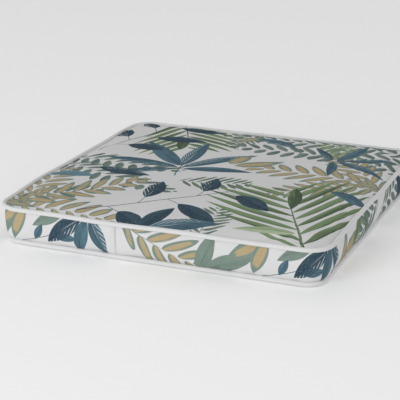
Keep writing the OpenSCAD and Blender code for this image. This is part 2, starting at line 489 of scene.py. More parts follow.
def gold_sprays(art, x, y, turn):
    """Sage leaflets with ochre middles on stems that part from one root."""
    for heading, length, bend in ((-34, 170, -0.12), (0, 200, 0.1), (36, 160, 0.12)):
        frond(
            art, x, y, turn + heading, length, 36, 8, fat=0.73, sweep=0.85, bend=bend,
            ink=GOLD, eye=0.58, tone=-0.15, grow=0.33,
        )  # fmt: skip


def draw_panel(art):
    """The motifs of a panel, from the back of the layers to the front. Places are in mm from its middle."""
    for x, y, turn, length, bend in (
        (228, 196, 188, 300, -0.1), (224, 226, 180, 250, -0.06), (230, 152, 194, 270, -0.16),
        (226, 110, 182, 160, -0.2), (-226, -20, -34, 220, 0.2), (-228, 12, -22, 180, 0.24),
    ):  # fmt: skip
        frond(art, x, y, turn, length, 31, length // 20, fat=0.69, sweep=0.6, bend=bend, peak=0.5)
    small = ((-222, -196, 28, 130), (60, -226, 86, 84), (-34, -56, 4, 96), (-12, 222, -104, 84))
    for x, y, turn, length in small:
        frond(art, x, y, turn, length, 28, 8, fat=0.7, sweep=0.75, bend=0.1, peak=0.5, ink=(SLATE, GREEN))
    gold_sprays(art, 226, 26, 172)
    gold_sprays(art, -216, -214, 40)
    frond(art, 96, 206, -58, 90, 34, 6, fat=0.72, sweep=0.8, ink=YOUNG, tone=0.1)
    palm(art, 196, -222, 118, 196, 8)
    palm(art, -146, 226, -62, 150, 7)
    fan(art, -62, 10, 112, 6)
    fan(art, 142, 112, 24, 5, 0.7)
    branch(art, -112, -204, 30, 210, 5)
    branch(art, -206, 44, 62, 160, 5)
    leaf(art, 60, 150, 150, 76, 24, 0.1, BLUES, 0.6, 0.45, nicks=8)
    leaf(art, 222, -52, 150, 62, 22, 0.1, BLUES, 0.5, 0.45)
    leaf(art, -224, -88, 12, 78, 26, -0.1, (TEAL, SKY), 0.4, 0.45)
    leaf(art, -28, 150, 52, 44, 18, 0.1, GOLD, -0.35, eye=0.55)
    leaf(art, 12, 30, 34, 74, 27, 0.1, GOLD, -0.35, eye=0.55)
    leaf(art, 4, 36, 84, 58, 24, -0.1, GOLD, -0.35, eye=0.6)
    leaf(art, -12, -222, 26, 96, 30, -0.1, BLUES, 0.5, 0.45, nicks=12)
    leaf(art, -20, -222, 62, 66, 26, 0.1, NAVIES, 0.5, 0.45)
    leaf(art, -160, -40, -16, 84, 26, 0.1, NAVIES, 0.6, 0.45, nicks=9)


def draw_band(art):
    """The motifs of the boxing: mm along the strip and up it from the lower seam, kept inside one repeat."""
    frond(art, -240, 14, 16, 100, 32, 6, fat=0.76, sweep=0.8, bend=0.06, grow=0.45)
    leaf(art, -136, -2, 100, 54, 20, 0.1, NAVIES, 0.6, 0.5)
    leaf(art, -132, -2, 66, 66, 20, -0.1, BLUES, 0.4, 0.5, nicks=9)
    leaf(art, -128, 0, 34, 88, 25, -0.1, BLUES, 0.6, 0.45, nicks=13)
    frond(
        art, -44, 56, -30, 112, 38, 5, fat=0.82, sweep=0.85, bend=0.08,
        ink=GOLD, eye=0.52, tone=-0.15, grow=0.48, rib=1.1,
    )  # fmt: skip
    leaf(art, 58, 2, 62, 62, 22, 0.1, SAGES, 0.85)
    leaf(art, 62, 0, 30, 80, 24, -0.1, SAGES, 0.9, 0.5)
    leaf(art, 148, 54, -156, 58, 21, 0.1, GOLD, -0.35, eye=0.6)
    leaf(art, 150, 55, -118, 50, 20, 0.1, GOLD, -0.35, eye=0.66)
    leaf(art, 206, 54, -160, 48, 17, 0.1, SAGES, 0.85)
    stem(art, 138, 6, 14, 66, 0.1, 1.4, BLUES)
    leaf(art, 164, 12, 62, 28, 11, 0.0, BLUES, 0.5, 0.5)
    leaf(art, 192, 22, -6, 34, 13, 0.1, BLUES, 0.5, 0.5)
    leaf(art, 236, 54, -148, 68, 24, 0.12, NAVIES, 0.7, 0.5, nicks=8)
    leaf(art, 240, 54, -108, 56, 20, 0.05, BLUES, 0.5, 0.5)
    leaf(art, 244, 54, -62, 58, 20, -0.1, BLUES, 0.4, 0.45, nicks=7)
    leaf(art, 286, 0, 72, 52, 20, 0.06, GOLD, -0.35, eye=0.6)
    leaf(art, 290, 0, 36, 72, 24, -0.1, GOLD, -0.35, eye=0.66)
    leaf(art, 372, 54, -134, 62, 20, 0.1, PALM, 0.7)
    leaf(art, 376, 54, -58, 60, 18, -0.1, PALM, 0.4)
    frond(art, 444, 44, 196, 84, 32, 5, fat=0.8, sweep=0.85, ink=SAGES, grow=0.45)


def add_bump(tree, shader, height, strength, distance):
    node = tree.nodes.new("ShaderNodeBump")
    node.inputs["Strength"].default_value = strength
    node.inputs["Distance"].default_value = distance
    feed(tree, node.inputs["Height"], height)
    tree.links.new(node.outputs[0], shader.inputs["Normal"])


def canvas_height(tree, flat, seam):
    """Threads over and under, slubs, and the small pulls that needle holes make beside a seam."""
    x, y, _ = parts_of(tree, flat)
    turns = 2 * math.pi / (1.5 * MM)
    threads = (x * turns).op("SINE") * (y * turns).op("SINE")
    across = noise(tree, stretched(tree, flat, 160, 1400), 1.0, 1.0)
    slub = across + noise(tree, stretched(tree, flat, 1400, 160), 1.0, 1.0)
    along, away, _ = parts_of(tree, seam)
    pulls = (along * (2 * math.pi / (4.2 * MM))).op("SINE") * (1 - away * (1 / (7 * MM))).op("MAXIMUM", 0.0)
    return threads * 0.05 + slub * 0.16 + pulls * 0.22


def new_material(name, roughness, sheen=0.0, specular=0.5):
    """A material with one Principled shader whose constants sit on its own sockets."""
    material = bpy.data.materials.new(name)
    material.use_nodes = True
    shader = material.node_tree.nodes["Principled BSDF"]
    shader.inputs["Roughness"].default_value = roughness
    shader.inputs["Sheen Weight"].default_value = sheen
    shader.inputs["Sheen Roughness"].default_value = 0.5
    shader.inputs["Specular IOR Level"].default_value = specular
    return material, material.node_tree, shader


def printed_canvas(name, draw):
    material, tree, shader = new_material(name, 0.92, specular=0.12)
    art = Artwork(tree)
    draw(art)
    ink, dark, light, brush = art.running.values()
    dry = noise(tree, brush, 1.0, 2.0, 0.6)
    level = parts_of(tree, brush)[2]
    tone = (level + (dry - 0.5) * 1.7).clamped()
    paint = mix(tree, "RGBA", tone, dark, light)
    thread = noise(tree, stretched(tree, art.flat, 1300, 60), 1.0, 1.0)
    weft = noise(tree, stretched(tree, art.flat, 60, 1300), 1.0, 1.0)
    shade = (thread + weft) * 0.16 + 0.84
    ground = mix(tree, "RGBA", shade, colour4([c * 0.88 for c in GROUND]), colour4(GROUND))
    cover = ink * ((thread + weft) * 0.2 + 0.78).op("MINIMUM", 1.0)
    feed(tree, shader.inputs["Base Color"], mix(tree, "RGBA", cover, ground, paint))
    feed(tree, shader.inputs["Roughness"], (thread + weft) * 0.1 + 0.82)
    add_bump(tree, shader, canvas_height(tree, art.flat, uv(tree, "seam")), 0.55, 1.0 * MM)
    return material


def plain_canvas(name, colour, twist=1.0):
    """White bias-cut canvas: its threads run at 45 degrees to the strip."""
    material, tree, shader = new_material(name, 0.85, sheen=0.1, specular=0.3)
    flat = uv(tree, "flat")
    x, y, _ = parts_of(tree, flat)
    turns = 2 * math.pi / (1.4 * MM)
    threads = ((x + y) * turns).op("SINE") * ((x - y) * turns).op("SINE")
    slub = noise(tree, stretched(tree, flat, 500, 500), 1.0, 2.0)
    shade = slub * 0.24 + 0.84
    dark = colour4([c * 0.9 for c in colour])
    feed(tree, shader.inputs["Base Color"], mix(tree, "RGBA", shade, dark, colour4(colour)))
    feed(tree, shader.inputs["Roughness"], slub * 0.2 + 0.75)
    add_bump(tree, shader, threads * 0.06 + slub * 0.4, 0.4 * twist, 1.0 * MM)
    return material


def mottled(name, colour, roughness, scale, bump_mm, sheen=0.0, specular=0.5, stretch=(1, 1, 1), spread=0.12):
    """A material whose colour, roughness and height vary together over the object."""
    material, tree, shader = new_material(name, roughness, sheen, specular)
    place = Val(tree, tree.nodes.new("ShaderNodeTexCoord").outputs["Object"])
    grain = noise(tree, stretched(tree, place, *stretch), scale, 4.0, 0.6)
    dark = colour4([c * (1 - spread) for c in colour])
    feed(tree, shader.inputs["Base Color"], mix(tree, "RGBA", grain, dark, colour4(colour)))
    feed(tree, shader.inputs["Roughness"], grain * 0.16 + (roughness - 0.08))
    add_bump(tree, shader, grain, 0.6, bump_mm * MM)
    return material


def open_cell_foam():
    """Cut foam: a skin of tiny open cells, painted darker in each cell's hollow middle as shade."""
    material, tree, shader = new_material("open_cell_foam", 0.95, 0.0, 0.2)
    place = Val(tree, tree.nodes.new("ShaderNodeTexCoord").outputs["Object"])
    cells = tree.nodes.new("ShaderNodeTexVoronoi")
    cells.inputs["Scale"].default_value = 900
    tree.links.new(place.socket, cells.inputs["Vector"])
    wall = Val(tree, cells.outputs["Distance"])
    # Painted shade: the colour darkens towards the middle of each cell, where the bump makes a hollow.
    shade = mix(tree, "RGBA", wall, colour4((0.60, 0.52, 0.26)), colour4((0.76, 0.68, 0.40)))
    feed(tree, shader.inputs["Base Color"], shade)
    feed(tree, shader.inputs["Roughness"], wall * 0.1 + 0.88)
    add_bump(tree, shader, wall, 0.8, 0.6 * MM)
    return material


def polyester_wadding():
    return mottled("polyester_wadding", (0.82, 0.83, 0.84), 0.95, 260, 1.2, 0.2, 0.2, (1, 3, 1), 0.16)


def spun_thread():
    return mottled("spun_thread", (0.80, 0.80, 0.79), 0.7, 2600, 0.1, 0.1, 0.3, (1, 1, 2.5), 0.2)


def moulded_plastic():
    return mottled("moulded_plastic", (0.68, 0.68, 0.67), 0.38, 1500, 0.02, spread=0.05)


def coated_metal():
    return mottled("coated_metal", (0.60, 0.60, 0.59), 0.36, 900, 0.03, spread=0.10)


def zip_weave():
    """The tape's herringbone: slanted ribs whose slant turns over every 2 mm."""
    material, tree, shader = new_material("zip_weave", 0.8, 0.1, 0.3)
    flat = uv(tree, "flat")
    x, y, _ = parts_of(tree, flat)
    zig = (y * (1 / (4 * MM))).op("PINGPONG", 0.5) * (4 * MM)
    rib = ((x + zig) * (2 * math.pi / (0.8 * MM))).op("SINE")
    grain = noise(tree, stretched(tree, flat, 900, 900), 1.0, 2.0)
    # Painted shade: the ribs are coloured a little lighter on their crests and darker in their grooves. The
    # grain is the tape's own uneven tone.
    shade = rib * 0.1 + grain * 0.5 + 0.35
    grey = mix(tree, "RGBA", shade, colour4((0.55,) * 3), colour4((0.66,) * 3))
    feed(tree, shader.inputs["Base Color"], grey)
    feed(tree, shader.inputs["Roughness"], grain * 0.2 + 0.7)
    add_bump(tree, shader, rib + grain, 0.6, 0.15 * MM)
    return material


# ---- the cover's shape ----

N_CORE = int(round(2 * CORE / CELL / 2)) * 2
N_CORNER = int(round(TOP_REACH / CELL))
N = N_CORE + 2 * N_CORNER

# Rows of the boxing: height, reach on the front and sides, reach at the back, in mm
ROWS = (
    (LOW_Z / MM, LOW_REACH / MM - 2.8, LOW_REACH / MM - 2.8),
    (7.2, 21.6, 21.6),
    (9.8, 25.0, 25.2),
    (13.6, 26.8, 28.0),
    (18.0, 27.6, 28.5),
    (ZIP_LOW / MM, 28.0, 28.5),
    (28.0, 28.4, 28.5),
    (ZIP_TOP / MM, 28.6, 28.5),
    (37.5, 28.7, 28.5),
    (41.5, 28.6, 28.5),
    (45.6, 28.4, 28.5),
    (49.4, 28.0, 28.0),
    (TOP_Z / MM, TOP_REACH / MM - 2.8, TOP_REACH / MM - 2.8),
)
ZIP_ROW = 5  # the boxing's rows from here to ZIP_ROW + 2 are the zip's gap at the back
SHOULDER = 36 * MM
SHOULDER_CURVE = 2.2
SWELL_ROOM = 1.6 * MM  # left for the simulation to fill
DOME = 1.2 * MM
BELLY_EDGE = 16 * MM
JOIN_DIP = 0.9 * MM
SEAM_DRIFT = 0.45 * MM
FRONT_DROOP = 2.2 * MM
CORNER_PINCH = 2.5 * MM


def grid_line(i, reach):
    """Flat place of grid line i of a panel whose edge is at that reach."""
    if i < N_CORNER:
        return -CORE - reach * (1 - i / N_CORNER)
    if i > N - N_CORNER:
        return CORE + reach * (1 - (N - i) / N_CORNER)
    return -CORE + 2 * CORE * (i - N_CORNER) / N_CORE


def panel_point(i, j, reach):
    """Flat place of a panel's grid point: the corners' squares are bent into quarter discs."""
    x, y = grid_line(i, reach), grid_line(j, reach)
    u, v = (abs(x) - CORE) / reach, (abs(y) - CORE) / reach
    if u <= 0 or v <= 0:
        return x, y
    bent_u, bent_v = u * math.sqrt(1 - v * v / 2), v * math.sqrt(1 - u * u / 2)
    return math.copysign(CORE + reach * bent_u, x), math.copysign(CORE + reach * bent_v, y)


def depth(x, y, reach):
    """How far inside the panel's edge a flat place is."""
    over = math.hypot(max(abs(x) - CORE, 0), max(abs(y) - CORE, 0))
    return reach - over + max(min(CORE - abs(x), CORE - abs(y)), 0)


def edge_ring():
    """Grid indices of a panel's edge, from the middle of the back round by the left, front and right."""
    ring = [(i, N) for i in range(N // 2, 0, -1)]
    ring += [(0, j) for j in range(N, 0, -1)]
    ring += [(i, 0) for i in range(N)]
    ring += [(N, j) for j in range(N)]
    return ring + [(i, N) for i in range(N, N // 2, -1)]


def smooth_step(value):
    value = min(max(value, 0), 1)
    return value * value * (3 - 2 * value)


def joined(x, y):
    """Whether a place on the edge is where two strips of boxing are sewn together."""
    near = CELL / 2
    return (y < -CORE and abs(x - JOIN_X) < near) or (y > CORE and abs(abs(x) - CORE) < near / 2)


def rear_share(x, y):
    """1 along the back, 0 along the front and sides, and in between round the back corners."""
    if y <= CORE:
        return 0
    return smooth_step(math.atan2(max(y - CORE, 0), max(abs(x) - CORE, 1e-6)) / (math.pi / 2))


def top_height(x, y):
    """A shoulder that rises from the seam, and a slight dome over the whole panel."""
    d = min(depth(x, y, ROWS[-1][1] * MM) / SHOULDER, 1)
    dome = (1 - (x / TOP_HALF) ** 2) * (1 - (y / TOP_HALF) ** 2)
    return TOP_Z + (CROWN_Z - TOP_Z - SWELL_ROOM) * (1 - (1 - d) ** SHOULDER_CURVE) + DOME * dome


def low_height(x, y):
    """Flat on the floor but for the belly's edge, which curves up to the seam."""
    d = min(depth(x, y, ROWS[0][1] * MM) / BELLY_EDGE, 1)
    return LOW_Z * (1 - d) ** 2


def settled(x, y, z):
    """A place on the filled cover, a little off its true line, as sewn cloth is. The back stays put."""
    loose = 1 - smooth_step((y - CORE) / (25 * MM) + 1)
    lift = loose * SEAM_DRIFT * (math.sin(41 * x + 29 * y + 0.6) + math.sin(23 * x - 47 * y + 2)) * z / TOP_Z
    sway = loose * SEAM_DRIFT * math.sin(31 * x + 1) * math.sin(37 * y + 2)
    front = smooth_step((-y - 90 * MM) / (120 * MM))
    lift -= FRONT_DROOP * front * z / TOP_Z
    sway -= CORNER_PINCH * front * (x / TOP_HALF) ** 6 * (y / TOP_HALF) ** 6
    return x + sway * x / TOP_HALF, y + sway * y / TOP_HALF, z + lift


class Cover:
    """The cover as one closed mesh with shared seams, and the flat fabric each face is cut from."""

    def __init__(self):
        self.points = []
        self.faces = []  # (piece, corner indices, flat places, seam places)
        self.index = {}
        ring = edge_ring()
        top = self.panel("top", ROWS[-1][1] * MM, top_height, 1)
        low = self.panel("bottom", ROWS[0][1] * MM, low_height, -1)
        self.band(ring, [low[i] for i in ring], [top[i] for i in ring])
        self.seam = {top[i] for i in ring} | {low[i] for i in ring}

    def add(self, point):
        self.points.append(settled(*point))
        return len(self.points) - 1

    def panel(self, piece, reach, height, up):
        index = {}
        for i in range(N + 1):
            for j in range(N + 1):
                x, y = panel_point(i, j, reach)
                index[i, j] = self.index[piece, i, j] = self.add((x, y, height(x, y)))
        for i in range(N):
            for j in range(N):
                quad = [(i, j), (i + 1, j), (i + 1, j + 1), (i, j + 1)][::up]
                flat = [panel_point(*q, reach) for q in quad]
                near = [(x if abs(y) > abs(x) else y, depth(x, y, reach)) for x, y in flat]
                if up < 0:
                    flat = [(-x, y) for x, y in flat]
                self.faces.append((piece, [index[q] for q in quad], flat, near))
        return index

    def band(self, ring, low, top):
        count = len(ring)
        edge = [panel_point(*i, TOP_REACH) for i in ring]
        steps = [math.dist(edge[k], edge[(k + 1) % count]) for k in range(count)]
        start = -sum(steps) / 2
        along = [start + sum(steps[:k]) for k in range(count + 1)]
        columns = []
        for k, (x, y) in enumerate(edge):
            core = (max(-CORE, min(CORE, x)), max(-CORE, min(CORE, y)))
            out = ((x - core[0]) / TOP_REACH, (y - core[1]) / TOP_REACH)
            share = rear_share(x, y)
            column = [low[k]]
            for z, front, rear in ROWS[1:-1]:
                reach = (front + (rear - front) * share) * MM - (JOIN_DIP if joined(x, y) else 0)
                column.append(self.add((core[0] + out[0] * reach, core[1] + out[1] * reach, z * MM)))
            columns.append(column + [top[k]])
        heights = [row[0] * MM for row in ROWS]
        # the ring starts at the back's middle, which has no seam, so a rear strip's cloth runs on across it
        for k in range(count):
            for m in range(len(ROWS) - 1):
                corners = [(k, m), (k, m + 1), (k + 1, m + 1), (k + 1, m)]
                piece = self.band_piece(edge[k], edge[(k + 1) % count], m)
                lap = sum(steps) if piece.startswith("rear") and k > count / 2 else 0
                flat = [(along[c] - lap, heights[r]) for c, r in corners]
                near = [(along[c], min(heights[r] - LOW_Z, TOP_Z - heights[r])) for c, r in corners]
                index = [columns[c % count][r] for c, r in corners]
                self.faces.append((piece, index[::-1], flat[::-1], near[::-1]))

    def band_piece(self, a, b, row):
        x, y = (a[0] + b[0]) / 2, (a[1] + b[1]) / 2
        if y > CORE and abs(x) < CORE:
            return "rear_low" if row < ZIP_ROW else "gap" if row < ZIP_ROW + 2 else "rear_top"
        return "left" if x < (JOIN_X if y < 0 else 0) else "right"


def mesh_object(name, points, faces):
    mesh = bpy.data.meshes.new(name)
    mesh.from_pydata(points, [], faces)
    mesh.update()
    piece = bpy.data.objects.new(name, mesh)
    bpy.context.scene.collection.objects.link(piece)
    return piece


def fill_uv(mesh, layer, places):
    data = mesh.uv_layers.new(name=layer).data
    data.foreach_set("uv", np.array(places, np.float32).ravel())


def apply_modifiers(piece):
    bpy.context.view_layer.objects.active = piece
    for modifier in list(piece.modifiers):
        bpy.ops.object.modifier_apply(modifier=modifier.name)


def shade_smooth(piece):
    piece.data.polygons.foreach_set("use_smooth", [True] * len(piece.data.polygons))


REPEAT = 700 * MM
REPEAT_START = -245 * MM
LEFT_SHIFT = 330 * MM


def wrapped(flat, shift=0.0):
    """Boxing print repeats along the strip; each face keeps to one repeat."""
    middle = sum(f[0] for f in flat) / len(flat) + shift
    repeats = math.floor((middle - REPEAT_START) / REPEAT)
    return [(f[0] + shift - repeats * REPEAT, f[1]) for f in flat]


def wrapped_left(flat):
    """The left strip comes from another stretch of the cloth, so the print breaks off at the joins."""
    return wrapped(flat, LEFT_SHIFT)


def gather(place):
    """An uneven run of small folds: it varies with x along the front and back, and with y along the sides."""
    waves = ((330, 0.3, 0.5), (217, 1.9, 0.7), (141, 4.1, 0.6))
    low = sum(a * math.sin(k * place.x + p) + a * math.sin(k * place.y + 2 * p) for k, p, a in waves)
    return low * (0.55 + 0.45 * math.sin(19 * place.x + 1) * math.sin(23 * place.y + 2))


def pucker(piece, key):
    """Small folds that run in from the piping and fade out."""
    mesh = piece.data
    places = [v.co.copy() for v in mesh.vertices]
    normals = [v.normal.copy() for v in mesh.vertices]
    edge = {"top": ROWS[-1][1] * MM, "bottom": ROWS[0][1] * MM}.get(key)
    for vertex, place, normal in zip(mesh.vertices, places, normals):
        if edge:
            away = depth(place.x, place.y, edge)
        else:
            away = min(place.z - LOW_Z, TOP_Z - place.z)
        share = max(away, 0) / PUCKER_PEAK
        vertex.co = place + normal * (PUCKER * gather(place) * share * math.exp(1 - share))
        vertex.co.z = max(vertex.co.z, 0)


def cut_piece(cover, points, name, key, change=lambda flat: flat):
    """The faces of one fabric piece, as their own object with fabric thickness."""
    faces = [f for f in cover.faces if f[0] == key]
    used = sorted({c for f in faces for c in f[1]})
    number = {c: k for k, c in enumerate(used)}
    piece = mesh_object(name, [points[c] for c in used], [[number[c] for c in f[1]] for f in faces])
    fill_uv(piece.data, "flat", [p for f in faces for p in change(f[2])])
    fill_uv(piece.data, "seam", [p for f in faces for p in f[3]])
    smooth = piece.modifiers.new("smooth", "SUBSURF")
    smooth.levels = smooth.render_levels = 1
    smooth.boundary_smooth = "PRESERVE_CORNERS"
    apply_modifiers(piece)
    pucker(piece, key)
    thick = piece.modifiers.new("thick", "SOLIDIFY")
    thick.thickness = CLOTH_T
    thick.offset = -1
    apply_modifiers(piece)
    shade_smooth(piece)
    return piece


def finish_piece(piece, material, slot, body, *nodes):
    piece.data.materials.append(material)
    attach(piece, body)
    if nodes:
        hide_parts(*nodes)
    return piece


# ---- the filled cover, swollen by a cloth simulation ----

PRESSURE = 3.5
LAST_FRAME = 20
MOST_SWELL = {"panel": 3.0 * MM, "boxing": 1.6 * MM}
SPARE_CLOTH = 0.012  # share by which the cloth is cut larger than the shape it fills


def held_points(cover):
    """The two piping seams and the edges of the zip don't move."""
    zip_faces = [f for f in cover.faces if f[0] == "gap"]
    return sorted(cover.seam | {c for f in zip_faces for c in f[1]})


def swell(cover):
    """Where the cover's points end when air pushes the cloth out between its seams."""
    start = np.array(cover.points)
    scene = bpy.context.scene
    body = mesh_object("swelling", cover.points, [f[1] for f in cover.faces])
    body.vertex_groups.new(name="held").add(held_points(cover), 1.0, "REPLACE")
    cloth = body.modifiers.new("cloth", "CLOTH")
    fabric = cloth.settings
    fabric.quality = 6
    fabric.mass = 0.25
    fabric.tension_stiffness = fabric.compression_stiffness = 14
    fabric.shear_stiffness = 6
    fabric.bending_stiffness = 0.8
    fabric.use_pressure = True
    fabric.uniform_pressure_force = PRESSURE
    fabric.vertex_group_mass = "held"
    fabric.shrink_min = fabric.shrink_max = -SPARE_CLOTH
    fabric.effector_weights.gravity = 0
    cloth.collision_settings.use_collision = False
    cloth.point_cache.frame_start, cloth.point_cache.frame_end = 1, LAST_FRAME
    scene.frame_start, scene.frame_end = 1, LAST_FRAME
    for moment in range(1, LAST_FRAME + 1):
        scene.frame_set(moment)
    done = body.evaluated_get(bpy.context.evaluated_depsgraph_get())
    end = np.empty(len(cover.points) * 3)
    done.data.vertices.foreach_get("co", end)
    bpy.data.objects.remove(body)
    scene.frame_set(1)
    move = end.reshape(-1, 3) - start
    size = np.maximum(np.linalg.norm(move, axis=1, keepdims=True), 1e-9)
    most = np.full((len(start), 1), MOST_SWELL["boxing"])
    most[list(cover.index.values())] = MOST_SWELL["panel"]
    end = start + move * most * np.tanh(size / most) / size
    end[:, 2] = np.maximum(end[:, 2], 0)
    return [tuple(p) for p in end]


# ---- foam and wadding ----

FOAM_LOW, FOAM_TOP = (corner.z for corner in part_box("foam_core"))
FOAM_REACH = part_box("foam_core")[1].x - CORE
UNDER_CLOTH = CLOTH_T + 0.4 * MM


def slab(name, reach, upper, lower, rows):
    """A closed layer between two heights, each given for every grid point of a panel."""
    ring = edge_ring()
    points, faces, index = [], [], {}
    for up, height in ((1, upper), (-1, lower)):
        for i in range(N + 1):
            for j in range(N + 1):
                index[up, i, j] = len(points)
                points.append((*panel_point(i, j, reach), height(i, j)))
        for i in range(N):
            for j in range(N):
                quad = [(i, j), (i + 1, j), (i + 1, j + 1), (i, j + 1)][::up]
                faces.append([index[(up, *q)] for q in quad])
    columns = []
    for i, j in ring:
        x, y = panel_point(i, j, reach)
        low, top = lower(i, j), upper(i, j)
        column = [index[-1, i, j]]
        for row in range(1, rows):
            column.append(len(points))
            points.append((x, y, low + (top - low) * row / rows))
        columns.append(column + [index[1, i, j]])
    for k, column in enumerate(columns):
        after = columns[(k + 1) % len(columns)]
        faces += [[column[m + 1], after[m + 1], after[m], column[m]][::-1] for m in range(rows)]
    piece = mesh_object(name, points, faces)
    tidy_normals(piece)
    shade_smooth(piece)
    return piece


def tidy_normals(piece):
    mesh = bmesh.new()
    mesh.from_mesh(piece.data)
    bmesh.ops.recalc_face_normals(mesh, faces=mesh.faces)
    mesh.to_mesh(piece.data)
    mesh.free()


def add_filling(cover, points):
    foam_cells = open_cell_foam()
    fibres = polyester_wadding()
    foam = slab("foam_block", FOAM_REACH, lambda i, j: FOAM_TOP, lambda i, j: FOAM_LOW, 8)
    edge = foam.modifiers.new("edge", "BEVEL")
    edge.width, edge.segments, edge.limit_method = 1.2 * MM, 3, "ANGLE"
    apply_modifiers(foam)
    finish_piece(foam, foam_cells, "foam", "cover", "foam_core")
    gap = 0.3 * MM
    top = slab(
        "wadding_upper", FOAM_REACH,
        lambda i, j: max(points[cover.index["top", i, j]][2] - UNDER_CLOTH, FOAM_TOP + 2 * gap),
        lambda i, j: FOAM_TOP + gap, 2,
    )  # fmt: skip
    finish_piece(top, fibres, "wadding", "cover", "wadding_top")
    low = slab(
        "wadding_lower", LOW_REACH - UNDER_CLOTH - PIPE_R,
        lambda i, j: FOAM_LOW - gap,
        lambda i, j: min(points[cover.index["bottom", i, j]][2] + UNDER_CLOTH, FOAM_LOW - 2 * gap), 2,
    )  # fmt: skip
    finish_piece(low, fibres, "wadding", "cover", "wadding_bottom")


# ---- zip ----

TAPE_STEP = 2 * MM
STITCH_R = 0.2 * MM
STITCH_LONG = 3 * MM
STITCH_PITCH = 4 * MM
SQUEEZE_RUN = 2.4 * MM
SQUEEZE_FULL = 2 * MM
SQUEEZE_FADE = 4 * MM
SQUEEZE_MOVE = 1.8 * MM
TAPE_RISE = 11.5 * MM
BEAD_UNIT = 0.5 * MM


def squeeze(x, z):
    """Beyond the stops the two tapes are stitched edge to edge."""
    middle = (ZIP_TOP + ZIP_LOW) / 2
    beyond = max(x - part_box("zip_top_stops")[1].x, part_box("zip_bottom_stop")[0].x - x)
    near = max(1 - (abs(z - middle) - SQUEEZE_FULL) / SQUEEZE_FADE, 0)
    shut = smooth_step((beyond + SQUEEZE_RUN / 2) / SQUEEZE_RUN) * near
    return z - math.copysign(shut * SQUEEZE_MOVE, z - middle)


def lengths_round(profile):
    """How far round a closed profile each of its points is, and the whole way last."""
    lengths = [0.0]
    for a, b in zip(profile, profile[1:] + profile[:1]):
        lengths.append(lengths[-1] + math.dist(a, b))
    return lengths


def swept_bar(name, x0, x1, profile, ripple):
    """A closed profile of (outward, up) points along the back, with a slight ripple in and out."""
    count = int(round((x1 - x0) / TAPE_STEP))
    lengths = lengths_round(profile)
    points, faces, uvs = [], [], []
    sides = len(profile)
    for k in range(count + 1):
        x = x0 + (x1 - x0) * k / count
        sway = ripple * (math.sin(x * 190) + math.sin(x * 77 + 1))
        points += [(x, y + sway, squeeze(x, z)) for y, z in profile]
    for k in range(count):
        runs = [x0 + (x1 - x0) * (k + e) / count for e in (0, 1)]
        for m in range(sides):
            n = (m + 1) % sides
            faces.append([k * sides + m, k * sides + n, (k + 1) * sides + n, (k + 1) * sides + m])
            a, b = lengths[m], lengths[m + 1]
            uvs += [(runs[0], a), (runs[0], b), (runs[1], b), (runs[1], a)]
    ends = [list(range(sides))[::-1], [count * sides + m for m in range(sides)]]
    uvs += [(x0, lengths[m]) for m in ends[0]] + [(x1, lengths[m - count * sides]) for m in ends[1]]
    piece = mesh_object(name, points, faces + ends)
    fill_uv(piece.data, "flat", uvs)
    tidy_normals(piece)
    shade_smooth(piece)
    return piece


def tape_profile(low, high, bead_up):
    """A thin tape whose inner edge is rolled round a cord, which the teeth grip."""
    middle = (low.y + high.y) / 2
    half = (high.y - low.y) / 2
    up = 1 if bead_up else -1
    inner, outer = (low.z, high.z) if bead_up else (high.z, low.z)
    rise = [(half, 0.0), (half, 3.0), (half, 6.5), (half, 9.5), (half * 0.7, 11.3)]
    bead = [(0.9, 0.9), (1.1, 0.35), (0.6, 0.0)]
    shape = [(-w * MM, u * MM) for w, u in bead[::-1]] + [(w * MM, u * MM) for w, u in bead]
    front = [(middle + half * w / BEAD_UNIT, inner + up * u) for w, u in shape[3:]]
    back = [(middle + half * w / BEAD_UNIT, inner + up * u) for w, u in shape[:3]]
    outside = [(middle + w, outer - up * (TAPE_RISE - u * MM)) for w, u in rise[1:]]
    inside = [(middle - w, outer - up * (TAPE_RISE - u * MM)) for w, u in rise[1:]][::-1]
    return front[::-1] + outside + inside + back[::-1]


def add_tapes(weave):
    for node, bead_up in (("zip_tape_upper", True), ("zip_tape_lower", False)):
        low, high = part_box(node)
        profile = tape_profile(low, high, bead_up)
        tape = swept_bar(node + "_woven", low.x, high.x, profile, 0.03 * MM)
        finish_piece(tape, weave, "zip_tape", "cover", node)


def cloth_face(piece):
    """Finds how far out a back strip's face is at a place along and up it."""
    tree = BVHTree.FromObject(piece, bpy.context.evaluated_depsgraph_get())

    def reach(x, z):
        hit = tree.ray_cast(Vector((x, REAR_Y + 20 * MM, z)), Vector((0, -1, 0)))[0]
        return hit.y if hit else REAR_Y

    return reach


def thread_loop(points, faces, x0, x1, z, reach, radius):
    """One stitch: a thread that rises from the cloth, lies on it and dips back in."""
    sides, rings = 6, 7
    first = len(points)
    for r in range(rings):
        share = r / (rings - 1)
        x = x0 + (x1 - x0) * share
        lift = radius * (2.2 * math.sin(math.pi * share) ** 0.5 - 1.2)
        thin = 0.75 + 0.25 * math.sin(math.pi * share)
        for m in range(sides):
            turn = 2 * math.pi * m / sides
            out = math.cos(turn) * radius * thin + lift
            points.append((x, reach(x, z) + out, z + math.sin(turn) * radius * thin))
    for r in range(rings - 1):
        for m in range(sides):
            n = (m + 1) % sides
            a, b = first + r * sides, first + (r + 1) * sides
            faces.append([a + m, a + n, b + n, b + m])
    faces.append([first + m for m in range(sides)][::-1])
    faces.append([first + (rings - 1) * sides + m for m in range(sides)])


def add_stitching(thread, strips):
    low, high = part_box("zip_stitching")
    points, faces = [], []
    for z, strip in ((high.z - STITCH_R, strips[0]), (low.z + STITCH_R, strips[1])):
        reach = cloth_face(strip)
        for x in stitch_starts(low.x, high.x):
            thread_loop(points, faces, x, x + STITCH_LONG, z, reach, STITCH_R)
    stitches = mesh_object("zip_topstitching", points, faces)
    tidy_normals(stitches)
    shade_smooth(stitches)
    finish_piece(stitches, thread, "thread", "cover", "zip_stitching")


